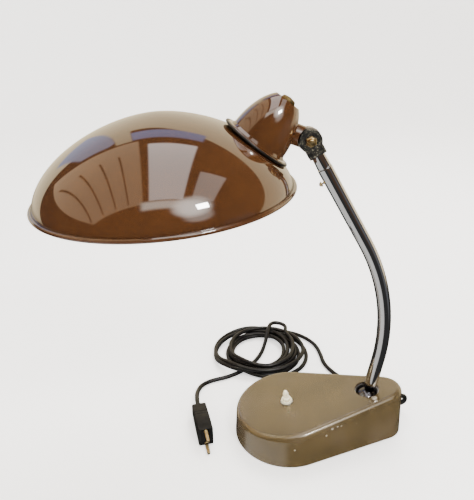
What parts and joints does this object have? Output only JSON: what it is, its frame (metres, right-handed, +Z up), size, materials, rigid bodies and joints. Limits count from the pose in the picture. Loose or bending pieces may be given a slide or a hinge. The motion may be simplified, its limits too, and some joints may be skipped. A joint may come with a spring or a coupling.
{
  "type": "adjustable desk lamp",
  "caption": "Desk lamp with a heavy teardrop base, push switch, ball-jointed bent chrome arm, tilting knuckle and a wide shallow domed metal shade; free cord with coil and plug.",
  "frame": {"origin": "on the table, straight below the centre of the ball joint", "axes": "+Z up; +X towards the narrow end of the base, -X towards the switch and the shade; the lamp lies in the plane y = 0"},
  "size_m": [0.4368, 0.3758, 0.4252],
  "materials": {
    "base_paint": "satin",
    "shade_paint": "gloss",
    "black_paint": "worn satin",
    "chrome": "polished",
    "steel": "plain",
    "iron": "rough",
    "brass": "worn",
    "felt": "felt",
    "fibre": "matt",
    "gasket": "matt",
    "bakelite": "gloss",
    "ceramic": "matt",
    "cream": "satin",
    "aluminium": "plain",
    "glass": "clear",
    "cord": "satin",
    "plug": "matt"
  },
  "bodies": {
    "base": {"base_housing": "base_paint", "base_plate": "steel", "felt_pad": "felt", "base_screws": "steel", "ballast_weight": "iron", "ballast_screws": "steel", "ball_seat": "steel", "spring_retainer": "steel", "retainer_screws": "steel", "switch_body": "bakelite", "switch_washer": "steel", "switch_collar": "cream", "cord_grommet": "gasket", "inner_lead": "cord", "terminal_block": "ceramic", "cord_clamp": "fibre", "clamp_screws": "steel", "switch_leads": "cord", "cord_lead": "cord", "plug_lead": "cord", "cord_coil": "cord", "plug_body": "plug", "plug_pins": "brass"},
    "joint_spring": {"disc_spring": "steel"},
    "joint_cup": {"pressure_cup": "brass"},
    "arm": {"arm_ball": "chrome", "arm_tube": "chrome", "arm_lead": "cord", "stub_bush": "brass", "thumbscrew": "brass"},
    "knuckle": {"swivel_stub": "chrome", "knuckle_lug": "black_paint", "friction_washer": "fibre", "pivot_bolt": "brass", "pivot_nut": "brass"},
    "head": {"neck_knuckle": "shade_paint", "neck_cap": "shade_paint", "neck_flange": "black_paint", "neck_gasket": "gasket", "cap_nut": "brass", "shade": "shade_paint", "holder_body": "bakelite", "shade_ring": "bakelite", "thread_shell": "brass", "contact_plate": "ceramic", "centre_contact": "brass", "neck_nipple": "steel", "bulb_cap": "aluminium", "bulb_glass": "glass"},
    "button": {"switch_button": "cream"}
  },
  "joints": [
    {"name": "arm_swivel", "type": "hinge", "parent": "base", "child": "joint_spring", "pos_m": [0, 0, 0.043], "axis": [0, 0, 1], "range_deg": [-170, 170]},
    {"name": "arm_side_lean", "type": "hinge", "parent": "joint_spring", "child": "joint_cup", "pos_m": [0, 0, 0.043], "axis": [1, 0, 0], "range_deg": [-10, 10]},
    {"name": "arm_lean", "type": "hinge", "parent": "joint_cup", "child": "arm", "pos_m": [0, 0, 0.043], "axis": [0, -1, 0], "range_deg": [-12, 15]},
    {"name": "head_swivel", "type": "hinge", "parent": "arm", "child": "knuckle", "pos_m": [-0.08647, 0, 0.378], "axis": [-0.5, 0, 0.866], "range_deg": [-90, 90]},
    {"name": "head_tilt", "type": "hinge", "parent": "knuckle", "child": "head", "pos_m": [-0.08647, 0, 0.378], "axis": [0, -1, 0], "range_deg": [-60, 26]},
    {"name": "switch_press", "type": "slide", "parent": "base", "child": "button", "axis": [0.1392, 0, -0.9903], "range_m": [0, 0.003], "stiffness_N_per_m": 800}
  ]
}
